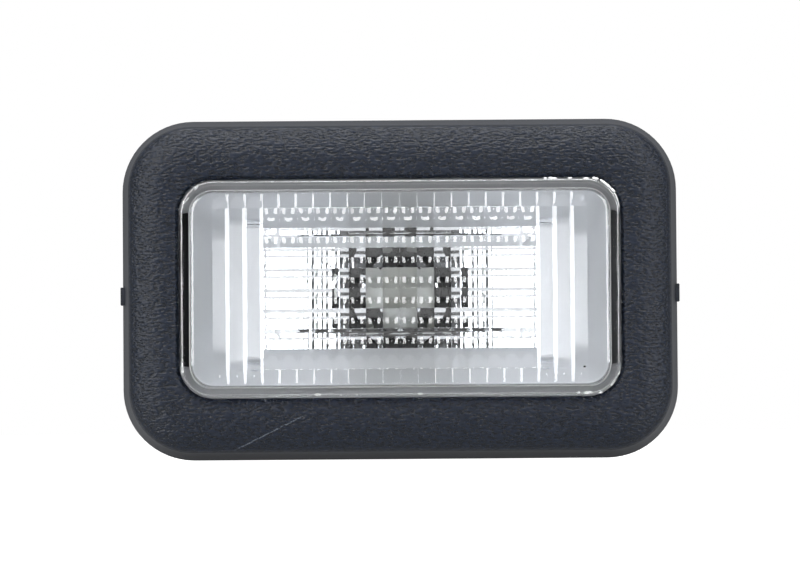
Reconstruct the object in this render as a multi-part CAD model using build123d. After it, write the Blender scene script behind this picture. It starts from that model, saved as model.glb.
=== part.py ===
from build123d import *
import math
import os

# A door light: a courtesy lamp that snaps into a cut-out in a vehicle's door panel.
#
# Every piece is drawn with the lamp lying on its back: x runs along the lamp, y runs up its face and
# z points out of the panel, with z = 0 on the panel's surface. save() then stands the lamp up in its
# own frame: X along the lamp, Y into the door, Z up, with the origin in the middle of the seat.
# All sizes are in millimetres.

# The black surround.
bezel_width = 92.3
bezel_height = 56.5
bezel_corner = 11.8
bezel_wall = 3.0
bezel_front_wall = 2.2
flank_lean = 1.5
edge_drop = 1.1
edge_bevel = 0.7
shoulder_place = 3.2
shoulder_drop = 0.25
crown_rise = 0.3
crown_fall = 0.45
crown_place = 2.6
side_bar = 9.75
long_bar = 10.25
window_corner = 5.6
gate_proud = 0.3
gate_length = 3.0
gate_thickness = 1.4
gate_drop = 0.9
gate_lift = 0.7

# The clear lens.
lens_fit = 0.3
lens_proud = 1.3
lens_wall = 1.3
lens_plate = 2.2
lens_edge_bevel = 0.7
lens_flange_reach = 2.4
lens_flange_thickness = 1.8
pillow_column = 2.81
pillow_row = 3.32
pillow_bulge = 0.12
pillow_root = 0.05
flute_bulge = 0.1
band_least = 2.9

# The metallised reflector.
reflector_wall = 1.2
reflector_rim = 2.2
reflector_rim_fit = 0.15
floor_width = 57.4
floor_height = 19.4
floor_corner = 3.6
dish_radius = 64.0
dish_depth = 20.0
bulb_hole = 17.0

# The housing behind it.
housing_step = 0.4
housing_wall = 1.8
housing_draft = 0.6
housing_back_bevel = 1.2
housing_flange_thickness = 2.4
housing_flange_gap = 0.4
rebate_depth = 1.2
holder_room = 5.5
tongue_gap = 1.7
tongue_thickness = 1.5
tongue_width = 11.0
tongue_length = 16.0
web_thickness = 1.2
web_short = 4.0

# The two screws that hold the housing to the surround, their bosses, and two locating pegs.
screw_shank = 2.6
screw_length = 5.4
screw_head = 5.2
screw_head_height = 1.6
screw_head_gap = 0.4
cross_span = 2.5
cross_slot = 0.75
cross_depth = 1.0
screw_hole_fit = 0.3
screw_bite_fit = 0.05
screw_tip_gap = 0.3
boss_wall = 1.15
boss_gap = 0.3
peg_size = 3.0
peg_fit = 0.15
rib_thickness = 1.4
rib_gap = 0.2
rib_place = 18.0

# The bulb: a glass wedge-base lamp, ten millimetres across.
bulb_diameter = 10.2
bulb_reach = 16.9
bulb_glass_wall = 0.7
bulb_pinch = 1.9
bulb_dome = 0.9
bulb_waist = 0.8
bulb_tip_share = 0.4
wedge_width = 9.5
wedge_thickness = 2.1
wedge_length = 9.0
wedge_seat_gap = 0.3
wire_diameter = 0.45
wire_spread = 4.4
wire_fold = 5.4
wire_fit = 0.01
filament_diameter = 0.5
filament_height = 9.5

# The twist-lock bulb holder and its two brass contacts.
holder_barrel = 15.6
holder_fit = 0.2
holder_face_drop = 0.3
lug_reach = 2.0
lug_width = 5.0
lug_thickness = 1.5
lug_fit = 0.3
lug_turn = 50.0
lug_places = (0, 120, 240)
holder_flange = 21.0
holder_flange_corner = 5.0
holder_flange_thickness = 2.0
grip_length = 7.0
grip_core = 13.4
grip_span = 19.0
grip_thickness = 6.0
grip_corner = 1.8
contact_fork = 3.4
contact_sheet = 0.4
contact_fit = 0.1
blade_width = 2.8
blade_thickness = 0.8
blade_reach = 7.0
blade_bevel = 0.56

# The spring-steel clips that grip the back of the door panel.
clip_sheet = 0.6
clip_width = 8.0
clip_fit = 0.05
clip_bend = 0.9
clip_leg = 11.0
clip_spring = 3.9
clip_grip = 2.9
clip_nose = 1.8
clip_tuck = 2.6

# A slight overlap where two forms of one piece are joined, and how near to a level counts as on it.
bond = 0.3
near_level = 0.001


def grown(outline, by):
    """A rounded outline moved out by a distance on every side, or in where it is negative."""
    width, height, corner = outline
    return width + 2 * by, height + 2 * by, max(corner + by, bond)


def sheet(outline, level):
    """A rounded rectangle lying at a height."""
    width, height, corner = outline
    return Pos(0, 0, level) * RectangleRounded(width, height, corner)


def slab(outline, low, high):
    """A straight-sided block on a rounded outline, between two heights."""
    return extrude(sheet(outline, low), high - low)


def drafted(outline, low, high, inset):
    """A block on a rounded outline whose walls lean in by a distance on their way up, or out."""
    lean_angle = math.degrees(math.atan2(inset, high - low))
    return extrude(sheet(outline, low), high - low, taper=lean_angle)


def wedge_box(low_size, low, high_size, high, corner):
    """A box with four flat leaning walls, from one size to another, and rounded corner edges."""
    walls = []
    for way, turn in ((0, 0), (1, 90)):
        low_half = low_size[way] / 2
        high_half = high_size[way] / 2
        corners = [(-low_half, low), (low_half, low), (high_half, high), (-high_half, high)]
        profile = make_face(Polyline(*corners, close=True))
        walls.append(Rotation(0, 0, turn) * extrude(Plane.XZ * profile, bezel_width, both=True))
    box = walls[0] & walls[1]
    uprights = [e for e in box.edges() if e.bounding_box().size.Z > (high - low) / 2]
    return fillet(uprights, corner)


def block(x0, x1, y0, y1, z0, z1):
    """A box between two corners."""
    centre = Pos((x0 + x1) / 2, (y0 + y1) / 2, (z0 + z1) / 2)
    return centre * Box(abs(x1 - x0), abs(y1 - y0), abs(z1 - z0))


def drum(diameter, low, high):
    """A round block on the lamp's axis, between two heights."""
    return Pos(0, 0, (low + high) / 2) * Cylinder(diameter / 2, abs(high - low))


def edges_at(edges, level):
    """Those of some edges that lie at a height."""
    return [e for e in edges if abs(e.center().Z - level) < near_level]


def save(name, *pieces):
    """Stand a piece, or a set of equal pieces, up in the lamp's own frame and write it out."""
    standing = [(Rotation(90, 0, 0) * piece).solid() for piece in pieces]
    shape = standing[0] if len(standing) == 1 else Compound(standing)
    export_step(shape, os.path.join("parts", name + ".step"))


# Heights above the door panel, stacked from the panel forwards.
flange_back = screw_head_gap + screw_head_height
flange_front = flange_back + housing_flange_thickness
rebate_floor = flange_front - rebate_depth
lens_flange_back = flange_front
bezel_inside = lens_flange_back + lens_flange_thickness
window_rim = bezel_inside + bezel_front_wall
edge_level = window_rim - edge_drop
crown_level = window_rim + crown_rise
shoulder_level = crown_level - shoulder_drop
lens_front = window_rim + lens_proud
plate_back = lens_front - lens_plate
pillow_top = plate_back - pillow_root

# Heights behind the door panel, stacked from the reflector's dish backwards.
dish_bottom = lens_flange_back - dish_depth
holder_face = dish_bottom + holder_face_drop
housing_back = dish_bottom - holder_room
housing_back_inside = housing_back + housing_wall
holder_flange_back = housing_back - holder_flange_thickness
grip_back = holder_flange_back - grip_length
bulb_seat = holder_face + wedge_seat_gap
bulb_tip = bulb_seat + bulb_reach
wedge_bottom = bulb_seat - wedge_length
filament_level = bulb_seat + filament_height
tongue_end = flange_back - tongue_length

# Outlines, from the outside in.
base = (bezel_width, bezel_height, bezel_corner)
edge = grown(base, -flank_lean)
window = (bezel_width - 2 * side_bar, bezel_height - 2 * long_bar, window_corner)
shoulder = grown(edge, -shoulder_place)
crown = grown(shoulder, -crown_place)
skirt = grown(window, -lens_fit)
skirt_inside = grown(skirt, -lens_wall)
lens_flange = grown(skirt, lens_flange_reach)
reflector_edge = grown(skirt_inside, reflector_rim)
rebate = grown(reflector_edge, reflector_rim_fit)
body = grown(lens_flange, -housing_step)
body_inside = grown(body, -housing_wall)
cavity = grown(base, -bezel_wall)

# The screws and the pegs stand on the diagonals of the lens flange's corners, just clear of it.
boss_radius = screw_shank / 2 + screw_bite_fit + boss_wall
boss_step = (lens_flange[2] + boss_gap + boss_radius) * math.sqrt(0.5)
boss_x = lens_flange[0] / 2 - lens_flange[2] + boss_step
boss_y = lens_flange[1] / 2 - lens_flange[2] + boss_step
boss_places = [Pos(-boss_x, boss_y, 0), Pos(boss_x, -boss_y, 0)]
peg_places = [Pos(boss_x, boss_y, 0), Pos(-boss_x, -boss_y, 0)]


def make_bezel():
    """The surround: a leaning flank under a softly crowned frame, hollow from behind."""
    bezel = drafted(base, 0, edge_level, flank_lean)
    bezel += drafted(edge, edge_level, shoulder_level, shoulder_place)
    bezel += drafted(shoulder, shoulder_level, crown_level, crown_place)
    fall = crown[2] - bond
    bezel -= drafted(grown(crown, -fall), crown_level - crown_fall, crown_level, -fall)
    edge_line = edges_at(bezel.edges(), edge_level)
    bezel = chamfer(edge_line, edge_bevel)
    bezel -= slab(window, bezel_inside - bond, lens_front)
    bezel -= slab(cavity, 0, bezel_inside)

    bosses = [p * drum(2 * boss_radius, flange_front, bezel_inside + bond) for p in boss_places]
    half = peg_size / 2
    peg = block(-half, half, -half, half, flange_back, bezel_inside + bond)
    pegs = [p * peg for p in peg_places]
    ribs = []
    far_x = cavity[0] / 2 + bond
    near_x = lens_flange[0] / 2 + rib_gap
    far_y = cavity[1] / 2 + bond
    near_y = lens_flange[1] / 2 + rib_gap
    half = rib_thickness / 2
    low = flange_front + bond
    high = bezel_inside + bond
    for side in (-1, 1):
        ribs.append(block(side * near_x, side * far_x, -half, half, low, high))
        for place in (-rib_place, rib_place):
            ribs.append(block(place - half, place + half, side * near_y, side * far_y, low, high))
    bezel = bezel.fuse(*bosses, *pegs, *ribs)

    pilot_end = flange_back + screw_length + screw_tip_gap
    pilot = drum(screw_shank + 2 * screw_bite_fit, flange_front - bond, pilot_end)
    bezel = bezel.cut(*[p * pilot for p in boss_places])

    # The moulding gates leave a small nub at each end of the flank.
    for side in (-1, 1):
        far = side * (bezel_width / 2 + gate_proud)
        near = side * (bezel_width / 2 - bezel_wall / 2)
        low = -gate_drop - gate_length / 2
        bezel += block(near, far, low, low + gate_length, gate_lift, gate_lift + gate_thickness)
    return bezel


def make_lens():
    """The lens: a clear cap with a flange behind the surround and a field of pillow optics inside."""
    cap = slab(skirt, lens_flange_back, lens_front) + slab(lens_flange, lens_flange_back, bezel_inside)
    front_line = edges_at(cap.edges(), lens_front)
    cap = chamfer(front_line, lens_edge_bevel)
    cap -= slab(skirt_inside, lens_flange_back - bond, plate_back)

    columns = int((skirt_inside[0] - 2 * band_least) / pillow_column)
    rows = int((skirt_inside[1] - 2 * band_least) / pillow_row)
    field_x = columns * pillow_column / 2
    field_y = rows * pillow_row / 2
    root = pillow_top + pillow_root + bond
    low = pillow_top - pillow_bulge - bond

    # A pillow is the cap of a ball, cut to its cell.
    reach = (pillow_column**2 + pillow_row**2) / 4
    ball = (reach + pillow_bulge**2) / (2 * pillow_bulge)
    cell_x = pillow_column / 2
    cell_y = pillow_row / 2
    pillow = block(-cell_x, cell_x, -cell_y, cell_y, low, root)
    pillow &= Pos(0, 0, pillow_top - pillow_bulge + ball) * Rot(0, 90, 0) * Sphere(ball)
    pieces = [place * pillow for place in GridLocations(pillow_column, pillow_row, columns, rows)]

    # Shallow flutes carry the columns and the rows on to the skirt.
    flute = (cell_x**2 + flute_bulge**2) / (2 * flute_bulge)
    band_y = skirt_inside[1] / 2 - field_y + bond
    upright = block(-cell_x, cell_x, 0, band_y, low, root)
    axis = Pos(0, band_y / 2, pillow_top - flute_bulge + flute)
    upright &= axis * Rot(90, 0, 0) * Cylinder(flute, 2 * band_y)
    for place in GridLocations(pillow_column, 0, columns, 1):
        x = place.position.X
        pieces.append(Pos(x, field_y, 0) * upright)
        pieces.append(Pos(x, -field_y - band_y, 0) * upright)
    flute = (cell_y**2 + flute_bulge**2) / (2 * flute_bulge)
    band_x = skirt_inside[0] / 2 - field_x + bond
    level = block(0, band_x, -cell_y, cell_y, low, root)
    axis = Pos(band_x / 2, 0, pillow_top - flute_bulge + flute)
    level &= axis * Rot(0, 90, 0) * Cylinder(flute, 2 * band_x)
    for place in GridLocations(0, pillow_row, 1, rows):
        y = place.position.Y
        pieces.append(Pos(field_x, y, 0) * level)
        pieces.append(Pos(-field_x - band_x, y, 0) * level)
    return cap.fuse(*pieces)


def reflector_form(spread, dish):
    """The reflector's bowl, its walls moved out by a distance: four leaning walls over a curved floor."""
    low = dish_bottom - 2 * reflector_wall
    low_size = (floor_width + 2 * spread, floor_height + 2 * spread)
    high_size = (skirt_inside[0] + 2 * spread, skirt_inside[1] + 2 * spread)
    bowl = wedge_box(low_size, low, high_size, lens_flange_back, floor_corner + spread)
    return bowl & Pos(0, 0, dish_bottom + dish_radius) * Rot(90, 0, 0) * Cylinder(dish, bezel_width)


def make_reflector():
    """The reflector: a metallised bowl with a clamping rim and a hole for the bulb."""
    reflector = reflector_form(reflector_wall, dish_radius + reflector_wall)
    reflector += slab(reflector_edge, rebate_floor, lens_flange_back)
    reflector -= reflector_form(0, dish_radius)
    return reflector - drum(bulb_hole, dish_bottom - 2 * reflector_wall, holder_face + 2 * reflector_wall)


def make_housing():
    """The housing: a drafted box on a screw flange, with a keyed hole at the back and clip tongues."""
    flange_outline = grown(cavity, -housing_flange_gap)
    back = grown(body, -housing_draft)
    box = wedge_box(back, housing_back, body, flange_back + bond, body[2])
    back_line = edges_at(box.edges(), housing_back)
    box = chamfer(back_line, housing_back_bevel)
    housing = box + slab(flange_outline, flange_back, flange_front)

    for side in (-1, 1):
        wall = side * (body[0] / 2 - housing_draft - bond)
        near = side * (body[0] / 2 + tongue_gap)
        far = side * (body[0] / 2 + tongue_gap + tongue_thickness)
        half = tongue_width / 2
        tongue = block(near, far, -half, half, tongue_end, flange_back + bond)
        end_line = edges_at(tongue.edges().filter_by(Axis.Y), tongue_end)
        housing += fillet(end_line, clip_bend - clip_sheet / 2 - clip_fit)
        web_end = tongue_end + web_short
        housing += block(wall, far, half - web_thickness, half, web_end, flange_back + bond)
        housing += block(wall, far, -half, web_thickness - half, web_end, flange_back + bond)

    back_inside = grown(back, -housing_wall)
    housing -= wedge_box(back_inside, housing_back_inside, body_inside, flange_front, body_inside[2])
    housing -= slab(rebate, rebate_floor, flange_front)
    screw_hole = drum(screw_shank + 2 * screw_hole_fit, flange_back - bond, flange_front + bond)
    half = peg_size / 2 + peg_fit
    peg_hole = block(-half, half, -half, half, flange_back - bond, flange_front + bond)
    housing = housing.cut(*[p * screw_hole for p in boss_places], *[p * peg_hole for p in peg_places])

    # The hole for the bulb holder has three notches; the holder's lugs go in there and are turned.
    hole = holder_barrel + 2 * holder_fit
    low = housing_back - bond
    high = housing_back_inside + bond
    housing -= drum(hole, low, high)
    notch_far = holder_barrel / 2 + lug_reach + lug_fit
    half = lug_width / 2 + lug_fit
    notch = block(0, notch_far, -half, half, low, high)
    for turn in lug_places:
        housing -= Rotation(0, 0, turn + lug_turn) * notch
    return housing


def make_screws():
    """Two pan-head screws with a cross recess, driven in from behind."""
    shank = drum(screw_shank, flange_back, flange_back + screw_length)
    head = drum(screw_head, screw_head_gap, flange_back)
    depth = screw_head_gap + cross_depth
    arm = block(-cross_span / 2, cross_span / 2, -cross_slot / 2, cross_slot / 2, 0, depth)
    arms = arm + Rotation(0, 0, 90) * arm
    screw = head + shank - arms
    return [place * screw for place in boss_places]


def make_wires():
    """The two lead wires: up through the pinch to the filament, and folded back over the wedge."""
    wires = []
    turn = wedge_bottom - bond
    fold = (wedge_thickness + wire_diameter) / 2 + 2 * wire_fit
    for side in (-1, 1):
        x = side * wire_spread / 2
        path = Polyline(
            (x, 0, filament_level),
            (x, 0, turn),
            (x, side * fold, turn),
            (x, side * fold, turn + wire_fold),
        )
        start = Plane((x, 0, filament_level), z_dir=(0, 0, -1))
        section = start * Rectangle(wire_diameter, wire_diameter)
        wires.append(sweep(section, path, transition=Transition.RIGHT))
    return wires


def bulb_form(radius, bottom, tip):
    """A cylinder whose end closes in two conical steps."""
    shoulder = tip - radius * bulb_dome
    waist = tip - radius * bulb_dome / 3
    form = drum(2 * radius, bottom, shoulder)
    form += Pos(0, 0, (shoulder + waist) / 2) * Cone(radius, radius * bulb_waist, waist - shoulder)
    form += Pos(0, 0, (waist + tip) / 2) * Cone(radius * bulb_waist, radius * bulb_tip_share, tip - waist)
    return form


def make_bulb_glass():
    """The bulb's envelope: a thin glass cylinder with a domed tip, pinched into a flat wedge below."""
    radius = bulb_diameter / 2
    bottom = bulb_seat + wedge_seat_gap
    inside_bottom = bottom + bulb_pinch
    outer = bulb_form(radius, bottom, bulb_tip)
    inner = drum(2 * (radius - bulb_glass_wall), inside_bottom, bulb_tip - radius * bulb_dome)
    half_w = wedge_width / 2
    half_t = wedge_thickness / 2
    wedge = block(-half_w, half_w, -half_t, half_t, wedge_bottom, inside_bottom - bond)
    glass = outer + wedge - inner
    half = wire_diameter / 2 + wire_fit
    bore = block(-half, half, -half, half, wedge_bottom - bond, inside_bottom + bond)
    for side in (-1, 1):
        glass -= Pos(side * wire_spread / 2, 0, 0) * bore
    return glass


def make_filament():
    """The filament's coil, between the tops of the two lead wires."""
    length = wire_spread - wire_diameter - 2 * wire_fit
    return Pos(0, 0, filament_level - filament_diameter) * Box(length, filament_diameter, filament_diameter)


# The contacts' fork grips the wedge and the folded wire; the holder's slot goes round the fork.
fork_inside = wedge_thickness / 2 + wire_diameter + 6 * wire_fit
fork_outside = fork_inside + contact_sheet
fork_floor = wedge_bottom - bond - wire_diameter / 2 - contact_fit
slot_floor = fork_floor - contact_sheet - contact_fit
slot_half_x = wedge_width / 2 + contact_fit + bond
slot_half_y = fork_outside + contact_fit
fork_place = slot_half_x - contact_fit - contact_fork / 2


def make_holder():
    """The bulb holder: a barrel with three lugs, a flange and a winged grip, slotted for the bulb."""
    holder = drum(holder_barrel, housing_back - bond, holder_face)
    holder += slab((holder_flange, holder_flange, holder_flange_corner), holder_flange_back, housing_back)
    holder += drum(grip_core, grip_back, holder_flange_back + bond)
    half_x = grip_span / 2
    half_y = grip_thickness / 2
    wings = block(-half_x, half_x, -half_y, half_y, grip_back, holder_flange_back + bond)
    wings = fillet(wings.edges().filter_by(Axis.Z), grip_corner)
    holder += wings
    lug_low = housing_back_inside
    reach = holder_barrel / 2 + lug_reach
    lug = block(holder_barrel / 4, reach, -lug_width / 2, lug_width / 2, lug_low, lug_low + lug_thickness)
    for turn in lug_places:
        holder += Rotation(0, 0, turn) * lug
    holder -= block(-slot_half_x, slot_half_x, -slot_half_y, slot_half_y, slot_floor, holder_face + bond)
    half_w = blade_width / 2 + contact_fit
    half_t = blade_thickness / 2 + contact_fit
    for side in (-1, 1):
        x = side * fork_place
        holder -= block(x - half_w, x + half_w, -half_t, half_t, grip_back - bond, slot_floor + bond)
    return holder


def make_contact(side):
    """A brass contact: a fork round the bulb's wedge, a floor, and a blade out of the holder's back."""
    x0 = side * fork_place - contact_fork / 2
    x1 = side * fork_place + contact_fork / 2
    top = holder_face - contact_sheet
    contact = block(x0, x1, -fork_outside, fork_outside, fork_floor - contact_sheet, fork_floor)
    for face in (-1, 1):
        contact += block(x0, x1, face * fork_inside, face * fork_outside, fork_floor - contact_sheet, top)
    half = blade_width / 2
    x = side * fork_place
    tip = grip_back - blade_reach
    thick = blade_thickness / 2
    blade = block(x - half, x + half, -thick, thick, tip, fork_floor - contact_sheet / 2)
    tip_line = edges_at(blade.edges().filter_by(Axis.Y), tip)
    blade = chamfer(tip_line, blade_bevel)
    return contact + blade


def make_clip(side):
    """A spring clip: a strip folded round the end of the housing's tongue, sprung out to a barb."""
    inner = body[0] / 2 + tongue_gap - clip_fit - clip_sheet / 2
    outer = body[0] / 2 + tongue_gap + tongue_thickness + clip_fit + clip_sheet / 2
    turn = tongue_end - clip_fit - clip_sheet / 2
    barb = outer + clip_spring
    nose = -clip_grip - clip_sheet / 2 - clip_nose
    points = [
        (side * inner, 0, turn + clip_leg),
        (side * inner, 0, turn),
        (side * outer, 0, turn),
        (side * barb, 0, nose),
        (side * (barb - clip_tuck), 0, nose + clip_nose),
    ]
    path = FilletPolyline(*points, radius=clip_bend)
    start = Plane(points[0], x_dir=(1, 0, 0), z_dir=(0, 0, 1))
    return sweep(start * Rectangle(clip_sheet, clip_width), path)


os.makedirs("parts", exist_ok=True)
save("bezel", make_bezel())
save("lens", make_lens())
save("reflector", make_reflector())
save("housing", make_housing())
save("housing_screws", *make_screws())
save("bulb_glass", make_bulb_glass())
save("bulb_lead_wires", *make_wires())
save("bulb_filament", make_filament())
save("bulb_holder", make_holder())
save("contact_left", make_contact(-1))
save("contact_right", make_contact(1))
save("retaining_clip_left", make_clip(-1))
save("retaining_clip_right", make_clip(1))
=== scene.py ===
import math
import random

import bmesh
import bpy
from mathutils import Matrix, Vector


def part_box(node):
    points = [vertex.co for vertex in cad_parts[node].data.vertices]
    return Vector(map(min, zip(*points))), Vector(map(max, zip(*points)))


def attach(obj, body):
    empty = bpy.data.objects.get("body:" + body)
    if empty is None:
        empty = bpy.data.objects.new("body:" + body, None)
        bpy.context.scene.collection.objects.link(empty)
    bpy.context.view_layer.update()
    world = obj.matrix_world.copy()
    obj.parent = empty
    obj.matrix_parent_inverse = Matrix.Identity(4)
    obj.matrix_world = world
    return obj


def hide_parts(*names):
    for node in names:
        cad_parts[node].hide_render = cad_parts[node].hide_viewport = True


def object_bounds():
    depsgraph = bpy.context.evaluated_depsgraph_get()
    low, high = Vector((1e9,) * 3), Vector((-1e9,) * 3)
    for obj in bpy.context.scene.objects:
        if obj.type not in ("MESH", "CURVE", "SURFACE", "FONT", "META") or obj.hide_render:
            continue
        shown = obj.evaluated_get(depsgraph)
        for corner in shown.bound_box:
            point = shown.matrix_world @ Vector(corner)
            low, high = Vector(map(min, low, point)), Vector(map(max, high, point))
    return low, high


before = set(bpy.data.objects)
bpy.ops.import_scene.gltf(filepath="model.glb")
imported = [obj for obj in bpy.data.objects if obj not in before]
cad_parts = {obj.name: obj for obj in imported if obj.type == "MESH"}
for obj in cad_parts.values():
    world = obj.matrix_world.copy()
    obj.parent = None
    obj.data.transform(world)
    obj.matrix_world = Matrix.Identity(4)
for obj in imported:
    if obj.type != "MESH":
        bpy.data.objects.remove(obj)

# A door light dressed over its solids. Pieces are modelled lying face up, in millimetres: x along the
# lamp, y up its face, z out of the door panel. STAND turns and scales a finished mesh into the frame.
cad_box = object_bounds()
MM = 0.001
STAND = Matrix.Rotation(math.radians(90), 4, "X") @ Matrix.Scale(MM, 4)
BODY = "root"


def lying_box(name):
    """A CAD piece's lowest and highest corners, turned back to the lying position, in millimetres."""
    low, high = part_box(name)
    return Vector((low.x, low.z, -high.y)) / MM, Vector((high.x, high.z, -low.y)) / MM


def grown(outline, by):
    """A rounded outline moved out on every side, or in where the distance is negative."""
    least_corner = 0.3
    return outline[0] + 2 * by, outline[1] + 2 * by, max(outline[2] + by, least_corner)


# Sizes read from the solids.
bezel_low, bezel_high = lying_box("bezel")
lens_low, lens_high = lying_box("lens")
bulb_low, bulb_high = lying_box("bulb_glass")
filament_low, filament_high = lying_box("bulb_filament")

# How meshes are made: the steps in a rounded corner and over a softened edge, how far two outlines are held
# apart while they are joined, and how near two points or two heights count as one.
CORNER_STEPS = 16
SOFT_STEPS = 3
HELD_APART = 100.0
MERGE = 0.0005
SOLID_MERGE = 0.002
SAME_LEVEL = 1e-6
CUT_NEAR = 1e-5

# Edges sharper than CREASE are kept sharp. On a copy of a solid, faces flatter than FLAT are joined and edges
# sharper than SHARP are rounded.
CREASE = math.radians(35)
FLAT = math.radians(1)
SHARP = math.radians(40)

# The surround: outlines are (width, height, corner radius), worked inwards from its rim on the panel. The
# face starts FACE_RISE over the edge, is highest at CROWN_PLACE, and is cut by the window at FACE_CUT, before
# its curve would end at FACE_END. GATE_LOW and GATE_HIGH are a gate mark's corners, up the face and out.
GATE_PROUD = 0.3
GATE_SUNK = 1.0
GATE_LOW = (-2.4, 0.7)
GATE_HIGH = (0.6, 2.1)
GATE_SOFT = 0.15
BASE = (bezel_high.x - bezel_low.x - 2 * GATE_PROUD, bezel_high.y - bezel_low.y, 11.8)
WINDOW = (72.8, 36.0, 5.6)
BEZEL_WALL = 3.0
SEAT_BEVEL = 0.15
FLANK_LEAN = 1.5
EDGE_LEVEL = 7.3
EDGE_ROUND = 0.95
EDGE_TURN = math.radians(68)
EDGE_STEPS = 6
FACE_RISE = 0.35
FACE_CUT = 9.2
FACE_END = 10.0
FACE_STEPS = 14
CROWN_PLACE = 6.6
CROWN_LEVEL = bezel_high.z
RIM_LEVEL = 8.42
RIM_ROUND = 0.5
RIM_STEPS = 4
PEG = 3.0
PEG_END = 2.0
PEG_SUNK = 0.1
PEG_SOFT = 0.3
PEG_PLACE = (38.22, 19.82)

# The lens. Its optic is a field of pillows, whose curves are radii: PILLOW_CURVE across and up a pillow,
# HALF_PILLOW along the field's top and bottom, END_FLUTE and ROW_FLUTE in its end columns, and BAND_FLUTE in
# the bands above and below it.
LENS_FIT = 0.3
LENS_WALL = 1.3
LENS_PLATE = 2.2
LENS_EDGE_ROUND = 0.35
LENS_INNER_ROUND = 0.8
LENS_STEPS = 6
# How matt white the root of the lens wall is made: a painted highlight along its inner edge.
ROOT_PAINTED_HIGHLIGHT = 0.7
FLANGE_THICKNESS = 1.8
SKIRT = (WINDOW[0] - 2 * LENS_FIT, WINDOW[1] - 2 * LENS_FIT, WINDOW[2] - LENS_FIT)
PILLOW_COLUMN = 2.81
PILLOW_ROW = 3.32
PILLOW_COLUMNS = 22
PILLOW_ROWS = 8
PILLOW_CURVE = (3.75, 5.2)
HALF_PILLOW = 6.0
END_COLUMNS = 3
END_FLUTE = 7.0
BAND_FLUTE = 8.2
ROW_FLUTE = 150.0
VALLEY = 0.06
FIELD_STEP = 0.06
PILLOW_STEPS = 8

# Ragged flash left along the lens's edge: where each stretch starts and ends, and its count of flakes.
FLASH = (
    ((-35.5, 14.0), (-33.2, 16.8), 5),
    ((-35.8, -11.8), (-35.8, -13.6), 3),
    ((24.0, 17.85), (32.6, 17.75), 8),
    ((33.4, 17.3), (35.2, 15.8), 12),
    ((35.2, 15.8), (36.1, 13.0), 12),
    ((29.0, -17.5), (33.6, -17.4), 9),
    ((34.2, -16.8), (35.8, -14.2), 6),
    ((-14.0, -17.5), (13.0, -17.5), 9),
)
FLASH_LEVEL = 8.75
# How matt white the flakes are made: partly whitened by tearing, partly a painted highlight.
FLASH_MATT_AND_HIGHLIGHT = 0.55
FLASH_SEED = 5

# One flake: its radius at the foot and at the top, its thickness, and the least and most that it is drawn out
# along the edge and across it, tilted, and lifted off its level.
FLAKE_SIDES = 6
FLAKE_FOOT = 0.32
FLAKE_TOP = 0.22
FLAKE_THICKNESS = 0.14
FLAKE_ALONG = (0.9, 2.2)
FLAKE_ACROSS = (0.4, 0.9)
FLAKE_TILT = (-0.4, 0.4)
FLAKE_LIFT = (-0.1, 0.15)

# The reflector: four leaning walls over a trough that is curved along the lamp.
OPENING = grown(SKIRT, -LENS_WALL)
REFLECTOR_WALL = 1.2
REFLECTOR_RIM = 2.2
RIM_GAP = 0.05
RIM_NEAR = 0.01
REFLECTOR_CORNER = 3.6
FLOOR = (57.4, 19.4)
FLOOR_STEPS = 12
FLOOR_ROUND = 0.8
FLOOR_ROUND_STEPS = 4
POLISHED = (46.4, 17.4, 2.4)
TROUGH_RADIUS = 64.0
TROUGH_DEPTH = 20.0
BULB_HOLE = 17.0
HOLE_FLAT = 0.01

# Its metal coat, from none to satin to a mirror. Some coat is put on the rim as painted light, so that the
# rim shows lighter as if lit: a little on its right half, and more towards its top and bottom, from a set
# height up and down, growing over a set span to a most.
SATIN = 1.0
MIRROR = 2.0
RIM_LIGHT_RIGHT = 0.07
RIM_LIGHT_FROM = 11.0
RIM_LIGHT_OVER = 5.0
RIM_LIGHT_MOST = 0.45

# The bulb.
BULB_RADIUS = 5.1
BULB_WALL = 0.7
BULB_LENGTH = 16.6
BULB_BASE = bulb_high.z - BULB_LENGTH
BULB_PINCH = 1.9
BULB_DOME = 4.6
BULB_SHOULDER = 0.8
BULB_STEPS = 12
BULB_SIDES = 48
WEDGE = (9.5, 2.1)
WEDGE_GAP = 0.02
COIL_TURNS = 14
COIL_STEPS = 12
COIL_WIRE = 0.06
COIL_WIRE_SIDES = 8


def between(first, second, share):
    """An outline part of the way from one to another."""
    return tuple(a + (b - a) * share for a, b in zip(first, second))


def ring(bm, outline, level):
    """The edges of a rounded rectangle at a height."""
    width, height, corner = outline
    made = bmesh.ops.create_grid(bm, x_segments=1, y_segments=1, size=0.5)["verts"]
    bmesh.ops.scale(bm, vec=(width, height, 1), verts=made)
    bmesh.ops.translate(bm, vec=(0, 0, level), verts=made)
    bmesh.ops.bevel(
        bm, geom=made, offset=corner, offset_type="OFFSET", affect="VERTICES",
        segments=CORNER_STEPS, profile=0.5, material=-1,
    )
    # A strip between two outlines has only four-sided faces, so the newest many-sided one is this outline's.
    many_sided = [f for f in bm.faces if len(f.verts) > CORNER_STEPS]
    face = [f for f in many_sided if all(abs(v.co.z - level) < SAME_LEVEL for v in f.verts)][-1]
    edges = list(face.edges)
    bmesh.ops.delete(bm, geom=[face], context="FACES_ONLY")
    return edges


def skin(bm, rings):
    """Join a chain of outlines, each at a height, with a strip of faces from one to the next."""
    chain = [ring(bm, outline, level) for outline, level in rings]
    for first, second in zip(chain, chain[1:]):
        # Two outlines at one height are bridged the right way round only while they are held apart.
        lifted = list({v for e in second for v in e.verts})
        bmesh.ops.translate(bm, vec=(0, 0, HELD_APART), verts=lifted)
        bmesh.ops.bridge_loops(bm, edges=first + second)
        bmesh.ops.translate(bm, vec=(0, 0, -HELD_APART), verts=lifted)
    return chain


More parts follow.
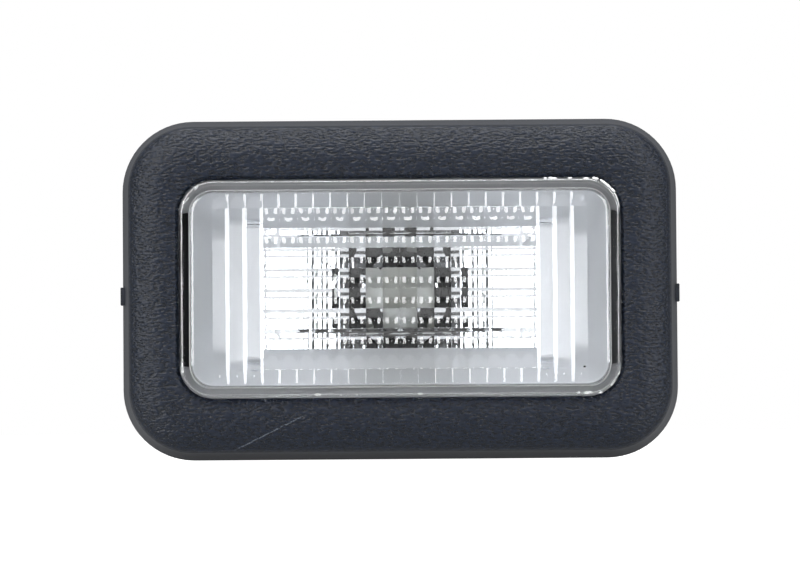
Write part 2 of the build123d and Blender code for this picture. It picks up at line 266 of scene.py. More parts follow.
def finish_mesh(bm, name, material, node, hollow=()):
    """Close a mesh, stand it up in the frame, smooth it but for its sharp edges, and make it ride. The faces
    in hollow are an inner wall's, which point into the hollow."""
    bmesh.ops.remove_doubles(bm, verts=bm.verts, dist=MERGE)
    bmesh.ops.holes_fill(bm, edges=[e for e in bm.edges if e.is_boundary], sides=0)
    bmesh.ops.recalc_face_normals(bm, faces=bm.faces)
    bmesh.ops.reverse_faces(bm, faces=[f for f in hollow if f.is_valid])
    for face in bm.faces:
        face.smooth = True
    for edge in bm.edges:
        if edge.is_manifold and edge.calc_face_angle() > CREASE:
            edge.smooth = False
    bmesh.ops.transform(bm, matrix=STAND, verts=bm.verts)
    mesh = bpy.data.meshes.new(name)
    bm.to_mesh(mesh)
    bm.free()
    piece = bpy.data.objects.new(name, mesh)
    bpy.context.scene.collection.objects.link(piece)
    piece.data.materials.append(material)
    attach(piece, BODY)
    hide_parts(node)


def linear(code):
    """A colour written as sRGB hex, as linear red, green, blue and alpha."""
    parts = [int(code[i:i + 2], 16) / 255 for i in (1, 3, 5)]
    return tuple(c / 12.92 if c <= 0.04045 else ((c + 0.055) / 1.055) ** 2.4 for c in parts) + (1.0,)


def add(tree, kind, inputs=None, **settings):
    """Add one shader node with its settings, and with values or links on its inputs."""
    made = tree.nodes.new("ShaderNode" + kind)
    for key, value in settings.items():
        setattr(made, key, value)
    for key, value in (inputs or {}).items():
        if isinstance(value, bpy.types.NodeSocket):
            tree.links.new(value, made.inputs[key])
        else:
            made.inputs[key].default_value = value
    return made


def new_material(name):
    """An empty material with its output, and its tree."""
    material = bpy.data.materials.new(name)
    material.use_nodes = True
    tree = material.node_tree
    tree.nodes.clear()
    return material, tree, tree.nodes.new("ShaderNodeOutputMaterial")


def surround_abs():
    """Black ABS from a leather-grained tool: short fine wrinkles that glint on the face, a smooth satin
    flank, and one light scratch under the lens. The wrinkles are drawn coarse enough to show."""
    wrinkle_mm = 0.32
    wrinkle_depth_mm = 0.19
    wrinkle_shape = (0.42, 1.0, 1.0)
    wrinkle_slant = math.radians(12)
    crease_mm = 0.45 * wrinkle_mm
    crease_share = 0.45
    grain_fade_mm = 0.5
    scratch_at = (-21.6 * MM, 0, -23.7 * MM)
    scratch_slant = math.radians(-26)
    scratch_half_width_mm = (0.05, 0.14)
    scratch_half_length_mm = (4.5, 7.0)
    material, tree, output = new_material("surround_abs")
    place = add(tree, "TexCoord").outputs["Object"]
    stretch = add(tree, "Mapping", {
        "Vector": place, "Rotation": (0, wrinkle_slant, 0), "Scale": wrinkle_shape,
    }).outputs[0]
    cells = add(tree, "TexVoronoi", {"Vector": stretch, "Scale": 1 / (wrinkle_mm * MM)}, feature="SMOOTH_F1")
    fine = add(tree, "TexNoise", {"Vector": stretch, "Scale": 1 / (crease_mm * MM), "Detail": 3.0})
    grain = add(tree, "Math", {
        0: fine.outputs["Fac"], 1: crease_share, 2: cells.outputs["Distance"],
    }, operation="MULTIPLY_ADD")
    split = add(tree, "SeparateXYZ", {0: place})
    face = add(tree, "MapRange", {
        "Value": split.outputs["Y"], "From Min": -(EDGE_LEVEL - grain_fade_mm) * MM,
        "From Max": -EDGE_LEVEL * MM,
    })
    dull = add(tree, "MapRange", {"Value": face.outputs[0], "To Min": 0.7, "To Max": 0.17})
    shine = add(tree, "MapRange", {"Value": face.outputs[0], "To Min": 0.26, "To Max": 0.16})
    height = add(tree, "Math", {0: grain.outputs[0], 1: face.outputs[0]}, operation="MULTIPLY")
    bump = add(tree, "Bump", {
        "Height": height.outputs[0], "Strength": 1.0, "Distance": wrinkle_depth_mm * MM,
    })
    scratch = add(tree, "Mapping", {
        "Vector": place, "Location": scratch_at, "Rotation": (0, scratch_slant, 0),
    }, vector_type="TEXTURE")
    along = add(tree, "SeparateXYZ", {0: scratch.outputs[0]})
    off = add(tree, "Math", {0: along.outputs["Z"]}, operation="ABSOLUTE")
    thin = add(tree, "MapRange", {
        "Value": off.outputs[0], "From Min": scratch_half_width_mm[0] * MM,
        "From Max": scratch_half_width_mm[1] * MM, "To Min": 1.0, "To Max": 0.0,
    })
    run = add(tree, "Math", {0: along.outputs["X"]}, operation="ABSOLUTE")
    ends = add(tree, "MapRange", {
        "Value": run.outputs[0], "From Min": scratch_half_length_mm[0] * MM,
        "From Max": scratch_half_length_mm[1] * MM, "To Min": 1.0, "To Max": 0.0,
    })
    broken = add(tree, "MapRange", {"Value": fine.outputs["Fac"], "From Min": 0.4, "From Max": 0.6})
    mark = add(tree, "Math", {0: thin.outputs[0], 1: ends.outputs[0]}, operation="MULTIPLY")
    mark = add(tree, "Math", {0: mark.outputs[0], 1: broken.outputs[0]}, operation="MULTIPLY")
    shade = add(tree, "MapRange", {"Value": grain.outputs[0], "From Min": 0.35, "From Max": 0.9})
    tone = add(tree, "Mix", {
        0: shade.outputs[0], 6: linear("#04070c"), 7: linear("#0e141f"),
    }, data_type="RGBA")
    colour = add(tree, "Mix", {
        0: mark.outputs[0], 6: tone.outputs[2], 7: linear("#484d55"),
    }, data_type="RGBA")
    shader = add(tree, "BsdfPrincipled", {
        "Base Color": colour.outputs[2], "Roughness": dull.outputs[0], "IOR": 1.53,
        "Specular IOR Level": shine.outputs[0], "Normal": bump.outputs[0],
    })
    tree.links.new(shader.outputs[0], output.inputs["Surface"])
    return material


def lens_acrylic():
    """Clear acrylic, polished in the tool: water clear, with a hard bright reflection. It has one black
    speck, and is made opaque white where the "matt" attribute says so: painted highlights on its wall's root
    and, together with torn whitening, on its flash."""
    speck_at = (30.2 * MM, -lens_high.z * MM, -13.2 * MM)
    speck_size = (0.3 * MM, 0.3 * MM, 0.21 * MM)
    material, tree, output = new_material("lens_acrylic")
    place = add(tree, "TexCoord").outputs["Object"]
    spot = add(tree, "Mapping", {
        "Vector": place, "Location": speck_at, "Scale": speck_size,
    }, vector_type="TEXTURE")
    blob = add(tree, "TexGradient", {"Vector": spot.outputs[0]}, gradient_type="SPHERICAL")
    speck = add(tree, "MapRange", {"Value": blob.outputs["Fac"], "From Min": 0.2, "From Max": 0.4})
    # The "matt" faces turn opaque white: painted highlights, on the flash partly torn whitening too.
    matt = add(tree, "Attribute", attribute_name="matt").outputs["Fac"]
    speck_and_painted_highlight = add(tree, "Math", {0: speck.outputs[0], 1: matt}, operation="MAXIMUM")
    clear = add(tree, "MapRange", {"Value": speck_and_painted_highlight.outputs[0], "To Min": 1.0, "To Max": 0.0})
    colour = add(tree, "Mix", {
        0: speck.outputs[0], 6: linear("#fbfcfd"), 7: linear("#0c0c0c"),
    }, data_type="RGBA")
    shader = add(tree, "BsdfPrincipled", {
        "Base Color": colour.outputs[2], "Roughness": 0.0, "IOR": 1.49,
        "Transmission Weight": clear.outputs[0], "Coat Weight": 1.0, "Coat Roughness": 0.0, "Coat IOR": 1.5,
    })
    tree.links.new(shader.outputs[0], output.inputs["Surface"])
    return material


def reflector_aluminised():
    """Vacuum-metallised plastic, by the "coat" attribute: a mirror on the floor, satin silver on the walls,
    and bare black plastic where no metal reached. The part coat on the rim is painted light."""
    material, tree, output = new_material("reflector_aluminised")
    coat = add(tree, "Attribute", attribute_name="coat").outputs["Fac"]
    metal = add(tree, "MapRange", {"Value": coat, "From Max": MIRROR})
    dull = add(tree, "MapRange", {
        "Value": coat, "From Min": SATIN, "From Max": MIRROR, "To Min": 0.5, "To Max": 0.04,
    })
    covered = add(tree, "MapRange", {"Value": coat, "From Max": SATIN})
    shine = add(tree, "MapRange", {"Value": coat, "From Max": SATIN, "To Min": 0.1, "To Max": 0.5})
    colour = add(tree, "Mix", {
        0: covered.outputs[0], 6: linear("#101113"), 7: linear("#e5e7ea"),
    }, data_type="RGBA")
    shader = add(tree, "BsdfPrincipled", {
        "Base Color": colour.outputs[2], "Metallic": metal.outputs[0], "Roughness": dull.outputs[0],
        "Specular IOR Level": shine.outputs[0],
    })
    tree.links.new(shader.outputs[0], output.inputs["Surface"])
    return material


def plain_plastic(name, code, roughness, shine):
    """Plain moulded plastic with a faint uneven sheen."""
    ripple_mm = 0.8
    ripple_depth_mm = 0.02
    material, tree, output = new_material(name)
    place = add(tree, "TexCoord").outputs["Object"]
    noise = add(tree, "TexNoise", {"Vector": place, "Scale": 1 / (ripple_mm * MM), "Detail": 4.0})
    bump = add(tree, "Bump", {
        "Height": noise.outputs["Fac"], "Strength": 0.25, "Distance": ripple_depth_mm * MM,
    })
    shader = add(tree, "BsdfPrincipled", {
        "Base Color": linear(code), "Roughness": roughness, "IOR": 1.5, "Specular IOR Level": shine,
        "Normal": bump.outputs[0],
    })
    tree.links.new(shader.outputs[0], output.inputs["Surface"])
    return material


def bare_metal(name, code, roughness, grain_mm):
    """Bare metal with a finely uneven shine."""
    uneven = 0.08
    material, tree, output = new_material(name)
    place = add(tree, "TexCoord").outputs["Object"]
    noise = add(tree, "TexNoise", {"Vector": place, "Scale": 1 / (grain_mm * MM), "Detail": 3.0})
    rough = add(tree, "MapRange", {
        "Value": noise.outputs["Fac"], "To Min": roughness - uneven, "To Max": roughness + uneven,
    })
    shader = add(tree, "BsdfPrincipled", {
        "Base Color": linear(code), "Metallic": 1.0, "Roughness": rough.outputs[0],
    })
    tree.links.new(shader.outputs[0], output.inputs["Surface"])
    return material


def bulb_soda_glass():
    """Thin blown soda glass, hazed and slightly green with age."""
    material, tree, output = new_material("bulb_soda_glass")
    shader = add(tree, "BsdfPrincipled", {
        "Base Color": linear("#f0f2ec"), "Roughness": 0.28, "IOR": 1.5, "Transmission Weight": 0.88,
    })
    tree.links.new(shader.outputs[0], output.inputs["Surface"])
    return material


def face_height(inset):
    """The surround's face: it rises from the edge to a soft crown and falls again to the window."""
    edge_at = FLANK_LEAN + EDGE_ROUND
    start = EDGE_LEVEL + FACE_RISE
    if inset < CROWN_PLACE:
        share = (inset - edge_at) / (CROWN_PLACE - edge_at)
        return start + (CROWN_LEVEL - start) * math.sin(share * math.pi / 2)
    share = (inset - CROWN_PLACE) / (FACE_END - CROWN_PLACE)
    return CROWN_LEVEL - (CROWN_LEVEL - RIM_LEVEL) * share * share


def add_block(bm, low, high, soft):
    """A block between two corners, with its edges rounded."""
    made = bmesh.ops.create_cube(bm, size=1.0)["verts"]
    low, high = Vector(low), Vector(high)
    size = high - low
    bmesh.ops.scale(bm, vec=(abs(size.x), abs(size.y), abs(size.z)), verts=made)
    bmesh.ops.translate(bm, vec=(low + high) / 2, verts=made)
    edges = list({e for v in made for e in v.link_edges})
    bmesh.ops.bevel(
        bm, geom=edges, offset=soft, offset_type="OFFSET", affect="EDGES",
        segments=SOFT_STEPS, profile=0.5, material=-1,
    )


def make_surround(material):
    """The surround's skin, in one closed loop: flank, rounded edge, crowned face, window wall and hollow
    back. A gate mark stands on each end, and two pegs stand inside."""
    bm = bmesh.new()
    seat = (grown(BASE, -SEAT_BEVEL), 0.0)
    rings = [seat, (BASE, SEAT_BEVEL)]
    lean = FLANK_LEAN / EDGE_LEVEL
    first = EDGE_LEVEL - EDGE_ROUND
    for step in range(EDGE_STEPS + 1):
        turn = step / EDGE_STEPS * EDGE_TURN
        inset = lean * first + EDGE_ROUND * (1 - math.cos(turn))
        rings.append((grown(BASE, -inset), first + EDGE_ROUND * math.sin(turn)))
    edge_inset = FLANK_LEAN + EDGE_ROUND
    for step in range(FACE_STEPS + 1):
        share = step / FACE_STEPS
        inset = edge_inset + (FACE_CUT - edge_inset) * share
        outline = between(grown(BASE, -inset), grown(WINDOW, RIM_ROUND), share ** 3)
        rings.append((outline, face_height(inset)))
    for step in range(1, RIM_STEPS + 1):
        turn = step / RIM_STEPS * math.pi / 2
        out = RIM_ROUND * (1 - math.sin(turn))
        rings.append((grown(WINDOW, out), RIM_LEVEL - RIM_ROUND * (1 - math.cos(turn))))
    inside = lens_low.z + FLANGE_THICKNESS
    cavity = grown(BASE, -BEZEL_WALL)
    rings += [(WINDOW, inside), (cavity, inside), (cavity, 0.0), seat]
    skin(bm, rings)
    half = PEG / 2
    for side in (-1, 1):
        root = side * (BASE[0] / 2 - GATE_SUNK)
        tip = side * (BASE[0] / 2 + GATE_PROUD)
        add_block(bm, (root, *GATE_LOW), (tip, *GATE_HIGH), GATE_SOFT)
        peg_x, peg_y = side * PEG_PLACE[0], side * PEG_PLACE[1]
        low = (peg_x - half, peg_y - half, PEG_END)
        high = (peg_x + half, peg_y + half, inside + PEG_SUNK)
        add_block(bm, low, high, PEG_SOFT)
    finish_mesh(bm, "surround", material, "bezel")


def dome(place, half, radius):
    """A cell's profile across: an arc that turns level in the narrow valley at the cell's edge."""
    flat = half - VALLEY
    away = abs(place)
    if away <= flat:
        return -away * away / (2 * radius)
    over = away - flat
    return -flat * flat / (2 * radius) - flat / radius * (over - over * over / (2 * VALLEY))


def pillow_depth(x, y, field_x, field_y):
    """How far the optic stands back from the plate at a place: pillows in the middle of the field, with
    half pillows along its top and bottom, and flutes at its ends and in the bands round it."""
    half_x = PILLOW_COLUMN / 2
    half_y = PILLOW_ROW / 2
    u = (x + field_x) % PILLOW_COLUMN - half_x
    v = (y + field_y) % PILLOW_ROW - half_y
    in_x = abs(x) < field_x + FIELD_STEP / 2
    in_y = abs(y) < field_y + FIELD_STEP / 2
    at_end = abs(x) > field_x - END_COLUMNS * PILLOW_COLUMN
    at_top = abs(y) > field_y - PILLOW_ROW
    depth = 0.0
    if in_x:
        curve = BAND_FLUTE if not in_y else END_FLUTE if at_end else PILLOW_CURVE[0]
        depth += dome(u, half_x, curve) - dome(half_x, half_x, curve)
    if in_y:
        if at_end:
            depth += dome(v, half_y, ROW_FLUTE) - dome(half_y, half_y, ROW_FLUTE)
        elif at_top:
            away = field_y - abs(y)
            depth += (PILLOW_ROW ** 2 - away ** 2) / (2 * HALF_PILLOW)
        else:
            curve = PILLOW_CURVE[1]
            depth += dome(v, half_y, curve) - dome(half_y, half_y, curve)
    return depth


def cut_lines(pitch, count):
    """Where the optic is cut across: close lines in each valley, even steps over each dome, and the step at
    the field's edge."""
    field = pitch * count / 2
    inner = pitch - 2 * VALLEY
    steps = [0.0, VALLEY / 3, VALLEY * 2 / 3]
    steps += [VALLEY + inner * i / PILLOW_STEPS for i in range(PILLOW_STEPS + 1)]
    steps += [pitch - VALLEY * 2 / 3, pitch - VALLEY / 3]
    lines = [-field + pitch * cell + step for cell in range(count) for step in steps]
    return [-field - FIELD_STEP] + lines + [field, field + FIELD_STEP]


def add_flash(bm, matt):
    """Thin broken flakes of flash along the lens's edge, over the gap to the surround, made matt white:
    partly whitened where torn, partly a painted highlight.
    """
    chance = random.Random(FLASH_SEED)
    for start, end, count in FLASH:
        heading = math.atan2(end[1] - start[1], end[0] - start[0])
        turn = Matrix.Rotation(heading, 3, "Z")
        for _ in range(count):
            flake = bmesh.ops.create_cone(
                bm, cap_ends=True, segments=FLAKE_SIDES, radius1=FLAKE_FOOT, radius2=FLAKE_TOP,
                depth=FLAKE_THICKNESS,
            )["verts"]
            along = chance.uniform(*FLAKE_ALONG)
            across = chance.uniform(*FLAKE_ACROSS)
            bmesh.ops.scale(bm, vec=(along, across, 1), verts=flake)
            tilt = Matrix.Rotation(chance.uniform(*FLAKE_TILT), 3, "X")
            bmesh.ops.rotate(bm, cent=(0, 0, 0), matrix=turn @ tilt, verts=flake)
            for face in {f for v in flake for f in v.link_faces}:
                # Matt white: partly torn whitening, partly a painted highlight.
                face[matt] = FLASH_MATT_AND_HIGHLIGHT
            place = Vector(start).lerp(Vector(end), chance.random())
            level = FLASH_LEVEL + chance.uniform(*FLAKE_LIFT)
            bmesh.ops.translate(bm, vec=(place.x, place.y, level), verts=flake)


def make_lens(material):
    """The lens: a cap with a rounded front edge and a flange, its inner face cut into pillows and flutes.
    The root of its wall is made matt white, a painted highlight along the lens's inner edge."""
    bm = bmesh.new()
    matt = bm.faces.layers.float.new("matt")
    back = lens_low.z
    front = lens_high.z
    flange_top = back + FLANGE_THICKNESS
    reach = (lens_high.x - lens_low.x - SKIRT[0]) / 2
    flange = grown(SKIRT, reach)
    inside = grown(SKIRT, -LENS_WALL)
    plate_back = front - LENS_PLATE
    turns = [step / LENS_STEPS * math.pi / 2 for step in range(LENS_STEPS + 1)]
    rings = []
    for turn in turns:
        outline = grown(inside, -LENS_INNER_ROUND * (1 - math.sin(turn)))
        rings.append((outline, plate_back - LENS_INNER_ROUND * (1 - math.cos(turn))))
    rings += [(inside, back), (flange, back), (flange, flange_top), (SKIRT, flange_top)]
    for turn in turns:
        outline = grown(SKIRT, -LENS_EDGE_ROUND * (1 - math.cos(turn)))
        rings.append((outline, front - LENS_EDGE_ROUND * (1 - math.sin(turn))))
    chain = skin(bm, rings)
    # The root of the wall is made matt white, a painted highlight.
    root = {v for loop in chain[LENS_STEPS // 2:LENS_STEPS + 1] for e in loop for v in e.verts}
    for face in bm.faces:
        if root.issuperset(face.verts):
            face[matt] = ROOT_PAINTED_HIGHLIGHT
    bmesh.ops.contextual_create(bm, geom=chain[-1])
    # The flat front and the plate meet their rounded edges in a hard line, so that they shade flat.
    for edge in chain[0] + chain[-1]:
        edge.smooth = False
    plate = bmesh.ops.contextual_create(bm, geom=chain[0])["faces"]
    geom = plate + list({e for f in plate for e in f.edges}) + list({v for f in plate for v in f.verts})
    cuts = (
        (Vector((1, 0, 0)), PILLOW_COLUMN, PILLOW_COLUMNS),
        (Vector((0, 1, 0)), PILLOW_ROW, PILLOW_ROWS),
    )
    for normal, pitch, count in cuts:
        for line in cut_lines(pitch, count):
            geom = bmesh.ops.bisect_plane(
                bm, geom=geom, dist=CUT_NEAR, plane_co=normal * line, plane_no=normal,
            )["geom"]
    add_flash(bm, matt)
    field_x = PILLOW_COLUMN * PILLOW_COLUMNS / 2
    field_y = PILLOW_ROW * PILLOW_ROWS / 2
    for vert in (v for v in geom if isinstance(v, bmesh.types.BMVert)):
        vert.co.z = plate_back - pillow_depth(vert.co.x, vert.co.y, field_x, field_y)
    finish_mesh(bm, "lens_cap", material, "lens")


def trough(x, radius):
    """The height of the reflector's floor, or of its back, at a place along the lamp."""
    bottom = lens_low.z - TROUGH_DEPTH
    return bottom + TROUGH_RADIUS - math.sqrt(radius * radius - x * x)


def wall_size(level, spread):
    """The reflector's width and height between its walls at a level."""
    low = lens_low.z - TROUGH_DEPTH - 2 * REFLECTOR_WALL
    share = (level - low) / (lens_low.z - low)
    return tuple(f + (o - f) * share + 2 * spread for f, o in zip(FLOOR, OPENING))


def painted_rim_light(place):
    """How much coat the reflector's rim gets at a place, as painted light: more on its right half and towards
    its top and bottom.
    """
    right_light = RIM_LIGHT_RIGHT if place.x > 0 else 0.0
    return min(max((abs(place.y) - RIM_LIGHT_FROM) / RIM_LIGHT_OVER, right_light), RIM_LIGHT_MOST)


def make_reflector(material):
    """The reflector: a rim, leaning walls, a trough floor with the bulb's hole, and the same form behind."""
    bm = bmesh.new()
    coat = bm.faces.layers.float.new("coat")
    top = lens_low.z - RIM_GAP
    low = trough(0, TROUGH_RADIUS)
    hole = (BULB_HOLE, BULB_HOLE, BULB_HOLE / 2 - HOLE_FLAT)
    rim = grown(OPENING, REFLECTOR_RIM)
    rings = []
    for spread in (0, REFLECTOR_WALL):
        # The back's walls start under the rim and its floor well below the front's. The trough's curve then
        # sets the height of both floors.
        level = low - 4 * spread
        under = top - 2 * spread
        corner = REFLECTOR_CORNER + spread
        side = [(wall_size(under, spread) + (corner,), under), (wall_size(low, spread) + (corner,), level)]
        for step in range(FLOOR_STEPS):
            side.append((between(POLISHED, hole, step / (FLOOR_STEPS - 1)), level))
        rings.append(side)
    front, back = rings
    chain = skin(bm, front[::-1] + [(rim, top), (rim, top - REFLECTOR_WALL)] + back + front[-1:])
    for side, spread in ((chain[:FLOOR_STEPS + 1], 0), (chain[-FLOOR_STEPS - 2:-1], REFLECTOR_WALL)):
        flat = wall_size(low, spread)
        for vert in {v for loop in side for e in loop for v in e.verts}:
            # Where the trough rises, its edge moves out to the leaning walls and its middle stays.
            size = wall_size(trough(vert.co.x, TROUGH_RADIUS + spread), spread)
            vert.co.x *= 1 + (size[0] / flat[0] - 1) * (abs(vert.co.x) / flat[0] * 2) ** 4
            vert.co.y *= 1 + (size[1] / flat[1] - 1) * (abs(vert.co.y) / flat[1] * 2) ** 4
            vert.co.z = trough(vert.co.x, TROUGH_RADIUS + spread)
    for vert in {v for e in chain[-1] for v in e.verts}:
        vert.co.z = trough(vert.co.x, TROUGH_RADIUS)
    bmesh.ops.remove_doubles(bm, verts=bm.verts, dist=MERGE)
    polished = {v for loop in chain[:FLOOR_STEPS] for e in loop if e.is_valid for v in e.verts}
    coated = {v for loop in chain[:FLOOR_STEPS + 2] for e in loop if e.is_valid for v in e.verts}
    for face in bm.faces:
        place = face.calc_center_median()
        if polished.issuperset(face.verts):
            face[coat] = MIRROR
        elif coated.issuperset(face.verts):
            face[coat] = SATIN
        # Coat on the rim is painted light: lighter on its right half and towards its top and bottom.
        elif place.z > top - RIM_NEAR:
            face[coat] = painted_rim_light(place)
    junction = [e for e in chain[FLOOR_STEPS] if e.is_valid]
    rounded = bmesh.ops.bevel(
        bm, geom=junction, offset=FLOOR_ROUND, offset_type="OFFSET", affect="EDGES",
        segments=FLOOR_ROUND_STEPS, profile=0.5, material=-1,
    )
    corner_x = FLOOR[0] / 2 - REFLECTOR_CORNER
    corner_y = FLOOR[1] / 2 - REFLECTOR_CORNER
    for face in rounded["faces"]:
        place = face.calc_center_median()
        at_corner = abs(place.x) > corner_x and abs(place.y) > corner_y
        face[coat] = SATIN if at_corner else MIRROR
    finish_mesh(bm, "reflector_bowl", material, "reflector")


def make_bulb(material):
    """The bulb's envelope: a blown tube with a domed tip, its foot pinched flat into a wedge."""
    bm = bmesh.new()
    dome_foot = bulb_high.z - BULB_DOME
    profile = []
    for shrink, foot in ((0, BULB_BASE), (BULB_WALL, BULB_BASE + BULB_PINCH)):
        wide = BULB_RADIUS - shrink
        side = []
        for step in range(BULB_STEPS + 1):
            turn = step / BULB_STEPS * math.pi / 2
            side.append((wide * math.sin(turn), dome_foot + (BULB_DOME - shrink) * math.cos(turn)))
        side += [(wide, foot + BULB_SHOULDER), (wide - BULB_SHOULDER, foot), (0, foot)]
        profile.append(side)
    hollow = []
    for side in profile:
        outside = set(bm.faces)
        verts = [bm.verts.new((radius, 0, level)) for radius, level in side]
        edges = [bm.edges.new(pair) for pair in zip(verts, verts[1:])]
        bmesh.ops.spin(
            bm, geom=verts + edges, cent=(0, 0, 0), axis=(0, 0, 1), angle=2 * math.pi,
            steps=BULB_SIDES, use_merge=True,
        )
        hollow = [f for f in bm.faces if f not in outside] if outside else []
    wedge = bmesh.ops.create_cube(bm, size=1.0)["verts"]
    tall = BULB_BASE - WEDGE_GAP - bulb_low.z
    bmesh.ops.scale(bm, vec=(*WEDGE, tall), verts=wedge)
    bmesh.ops.translate(bm, vec=(0, 0, bulb_low.z + tall / 2), verts=wedge)
    finish_mesh(bm, "bulb_envelope", material, "bulb_glass", hollow)


def make_filament(material):
    """The filament: a close coil of tungsten wire between the tops of the lead wires."""
    bm = bmesh.new()
    centre = (filament_low + filament_high) / 2
    reach = (filament_high.z - filament_low.z) / 2 - COIL_WIRE
    length = filament_high.x - filament_low.x - 2 * COIL_WIRE
    circle = bmesh.ops.create_circle(bm, segments=COIL_WIRE_SIDES, radius=COIL_WIRE)["verts"]
    upright = Matrix.Rotation(math.radians(90), 3, "X")
    bmesh.ops.rotate(bm, cent=(0, 0, 0), matrix=upright, verts=circle)
    start = Vector((filament_low.x + COIL_WIRE, centre.y, centre.z + reach))
    bmesh.ops.translate(bm, vec=start, verts=circle)
    steps = COIL_TURNS * COIL_STEPS
    bmesh.ops.spin(
        bm, geom=circle + list(bm.edges), cent=centre, axis=(1, 0, 0), dvec=(length / steps, 0, 0),
        angle=2 * math.pi * COIL_TURNS, steps=steps,
    )
    finish_mesh(bm, "filament_coil", material, "bulb_filament")


def softened(node, material, soft_mm):
    """A copy of a solid with its sharp edges rounded."""
    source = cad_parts[node]
    bm = bmesh.new()
    bm.from_mesh(source.data)
    bmesh.ops.transform(bm, matrix=STAND.inverted() @ source.matrix_world, verts=bm.verts)
    bmesh.ops.remove_doubles(bm, verts=bm.verts, dist=SOLID_MERGE)
    bmesh.ops.dissolve_limit(bm, angle_limit=FLAT, verts=bm.verts, edges=bm.edges)
    sharp = [e for e in bm.edges if e.is_manifold and e.calc_face_angle() > SHARP]
    bmesh.ops.bevel(
        bm, geom=sharp, offset=soft_mm, offset_type="OFFSET", affect="EDGES",
        segments=SOFT_STEPS, profile=0.5, clamp_overlap=True, material=-1,
    )
    finish_mesh(bm, node + "_soft", material, node)


def make_floor():
    """A white sheet on a grey bench, for the lamp to stand on: white to the eye, and shaded by the lamp.
    Sizes are in metres."""
    bench = 2.5
    under_lamp = 0.0003
    sheet_edge = (0.1, 0.14)
    bm = bmesh.new()
    bmesh.ops.create_circle(bm, cap_ends=True, segments=96, radius=bench)
    bmesh.ops.translate(bm, vec=(0, 0, cad_box[0].z - under_lamp), verts=bm.verts)
    mesh = bpy.data.meshes.new("floor")
    bm.to_mesh(mesh)
    bm.free()
    floor = bpy.data.objects.new("floor", mesh)
    bpy.context.scene.collection.objects.link(floor)
    material, tree, output = new_material("floor_white")
    path = add(tree, "LightPath")
    level = add(tree, "MapRange", {"Value": path.outputs["Is Camera Ray"], "To Min": 0.55, "To Max": 0.95})
    own = add(tree, "Emission", {"Color": linear("#ffffff"), "Strength": level.outputs[0]})
    away = add(tree, "VectorMath", {0: add(tree, "TexCoord").outputs["Object"]}, operation="LENGTH")
    sheet = add(tree, "MapRange", {
        "Value": away.outputs["Value"], "From Min": sheet_edge[0], "From Max": sheet_edge[1],
    })
    colour = add(tree, "Mix", {
        0: sheet.outputs[0], 6: linear("#a6a6a6"), 7: linear("#858585"),
    }, data_type="RGBA")
    matt = add(tree, "BsdfDiffuse", {"Color": colour.outputs[2]})
    both = add(tree, "AddShader", {0: own.outputs[0], 1: matt.outputs[0]})
    tree.links.new(both.outputs[0], output.inputs["Surface"])
    floor.data.materials.append(material)


def make_world():
    """A white studio: white to the eye, dimmer in front of the lamp, and dim straight ahead of it, where its
    mirrors look out."""
    world = bpy.data.worlds.new("studio")
    bpy.context.scene.world = world
    world.use_nodes = True
    tree = world.node_tree
    tree.nodes.clear()
    path = add(tree, "LightPath")
    way = add(tree, "TexCoord").outputs["Generated"]
    front = add(tree, "SeparateXYZ", {0: way}).outputs["Y"]
    level = add(tree, "MapRange", {
        "Value": front, "From Min": -1.0, "From Max": 0.3, "To Min": 0.26, "To Max": 1.0,
    })
    ahead = add(tree, "MapRange", {"Value": front, "From Min": -0.98, "From Max": -0.85, "To Min": 0.1})
    level = add(tree, "Math", {0: level.outputs[0], 1: ahead.outputs[0]}, operation="MULTIPLY")
    strength = add(tree, "Mix", {
        0: path.outputs["Is Camera Ray"], 2: level.outputs[0], 3: 1.0,
    }, data_type="FLOAT")
    shell = add(tree, "Background", {"Color": linear("#ffffff"), "Strength": strength.outputs[0]})
    output = tree.nodes.new("ShaderNodeOutputWorld")
    tree.links.new(shell.outputs[0], output.inputs["Surface"])


def softbox(name, side, lift, size, radiance):
    """A soft light in front of the lamp, by its angles to the side and up, aimed at the lamp. Its size is in
    metres."""
    distance = 0.95
    lamp = bpy.data.lights.new(name, "AREA")
    lamp.shape = "RECTANGLE"
    lamp.size, lamp.size_y = size
    lamp.energy = radiance * math.pi * size[0] * size[1]
    light = bpy.data.objects.new(name, lamp)
    across = math.radians(side)
    up = math.radians(lift)
    way = Vector((math.sin(across) * math.cos(up), -math.cos(across) * math.cos(up), math.sin(up)))
    light.location = way * distance
    light.rotation_euler = way.to_track_quat("Z", "Y").to_euler()
    bpy.context.scene.collection.objects.link(light)


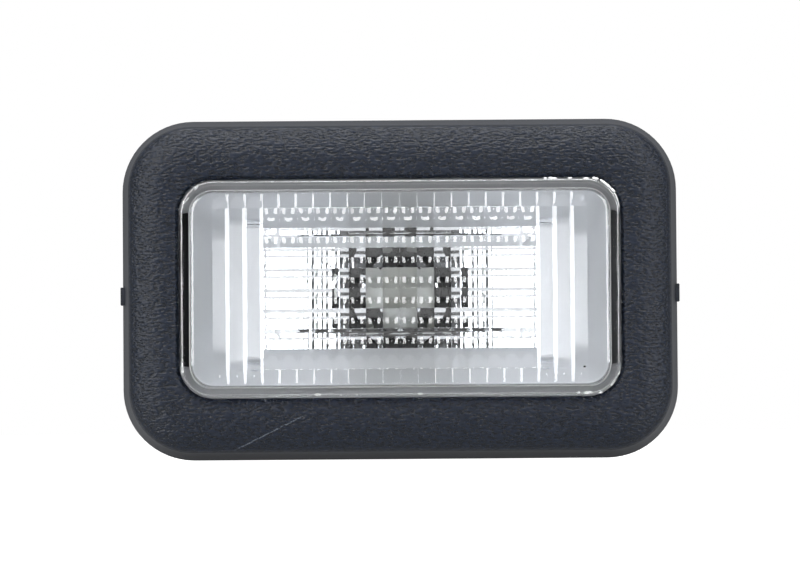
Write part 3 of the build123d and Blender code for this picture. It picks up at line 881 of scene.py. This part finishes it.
def make_camera():
    """The photograph's view: from the front, a little below the lamp's axis, and slightly rolled."""
    distance = 0.65
    elevation = math.radians(-2.0)
    roll = math.radians(-0.43)
    photo_width_pixels = 800
    pixels_per_mm = 6.0
    wide = photo_width_pixels / pixels_per_mm * MM
    data = bpy.data.cameras.new("camera")
    data.sensor_width = 36.0
    data.lens = data.sensor_width * distance / wide
    data.clip_start = 0.01
    camera = bpy.data.objects.new("camera", data)
    back = Vector((0, -math.cos(elevation), math.sin(elevation)))
    camera.location = back * distance
    turn = (-back).to_track_quat("-Z", "Y").to_matrix() @ Matrix.Rotation(roll, 3, "Z")
    camera.rotation_euler = turn.to_euler()
    bpy.context.scene.collection.objects.link(camera)
    bpy.context.scene.camera = camera


# Drawn tungsten wire: dull dark grey.
tungsten = bare_metal("tungsten", "#6a6a6e", roughness=0.45, grain_mm=0.1)
# Black polypropylene, moulded: a low, even sheen.
polypropylene = plain_plastic("housing_polypropylene", "#1b1c1f", roughness=0.5, shine=0.4)
# Black nylon, moulded: darker and almost without sheen.
nylon = plain_plastic("holder_nylon", "#131315", roughness=0.5, shine=0.15)
# Zinc-plated steel: a pale, slightly blue shine.
zinc = bare_metal("screw_zinc", "#b9bcc0", roughness=0.35, grain_mm=0.4)
# Drawn nickel wire: a pale, slightly yellow shine.
nickel = bare_metal("lead_wire_nickel", "#b8b4a8", roughness=0.3, grain_mm=0.2)
# Stamped brass, tinned: pale straw, with a soft shine.
tinned = bare_metal("contact_tinned_brass", "#c3bda9", roughness=0.3, grain_mm=0.4)
# Folded spring steel: grey, with a soft shine.
spring = bare_metal("spring_steel", "#8d9196", roughness=0.38, grain_mm=0.5)

make_surround(surround_abs())
make_lens(lens_acrylic())
make_reflector(reflector_aluminised())
make_bulb(bulb_soda_glass())
make_filament(tungsten)
softened("housing", polypropylene, soft_mm=0.4)
softened("bulb_holder", nylon, soft_mm=0.3)
softened("housing_screws", zinc, soft_mm=0.25)
softened("bulb_lead_wires", nickel, soft_mm=0.12)
for side in ("left", "right"):
    softened("contact_" + side, tinned, soft_mm=0.12)
    softened("retaining_clip_" + side, spring, soft_mm=0.15)

make_floor()
make_world()
softbox("key", side=-36, lift=14, size=(0.42, 0.52), radiance=13)
softbox("fill", side=36, lift=14, size=(0.42, 0.52), radiance=9.5)
softbox("top", side=0, lift=14, size=(0.06, 0.06), radiance=11)
softbox("overhead", side=0, lift=68, size=(0.9, 0.5), radiance=11)
make_camera()

bpy.context.scene.view_settings.view_transform = "Standard"
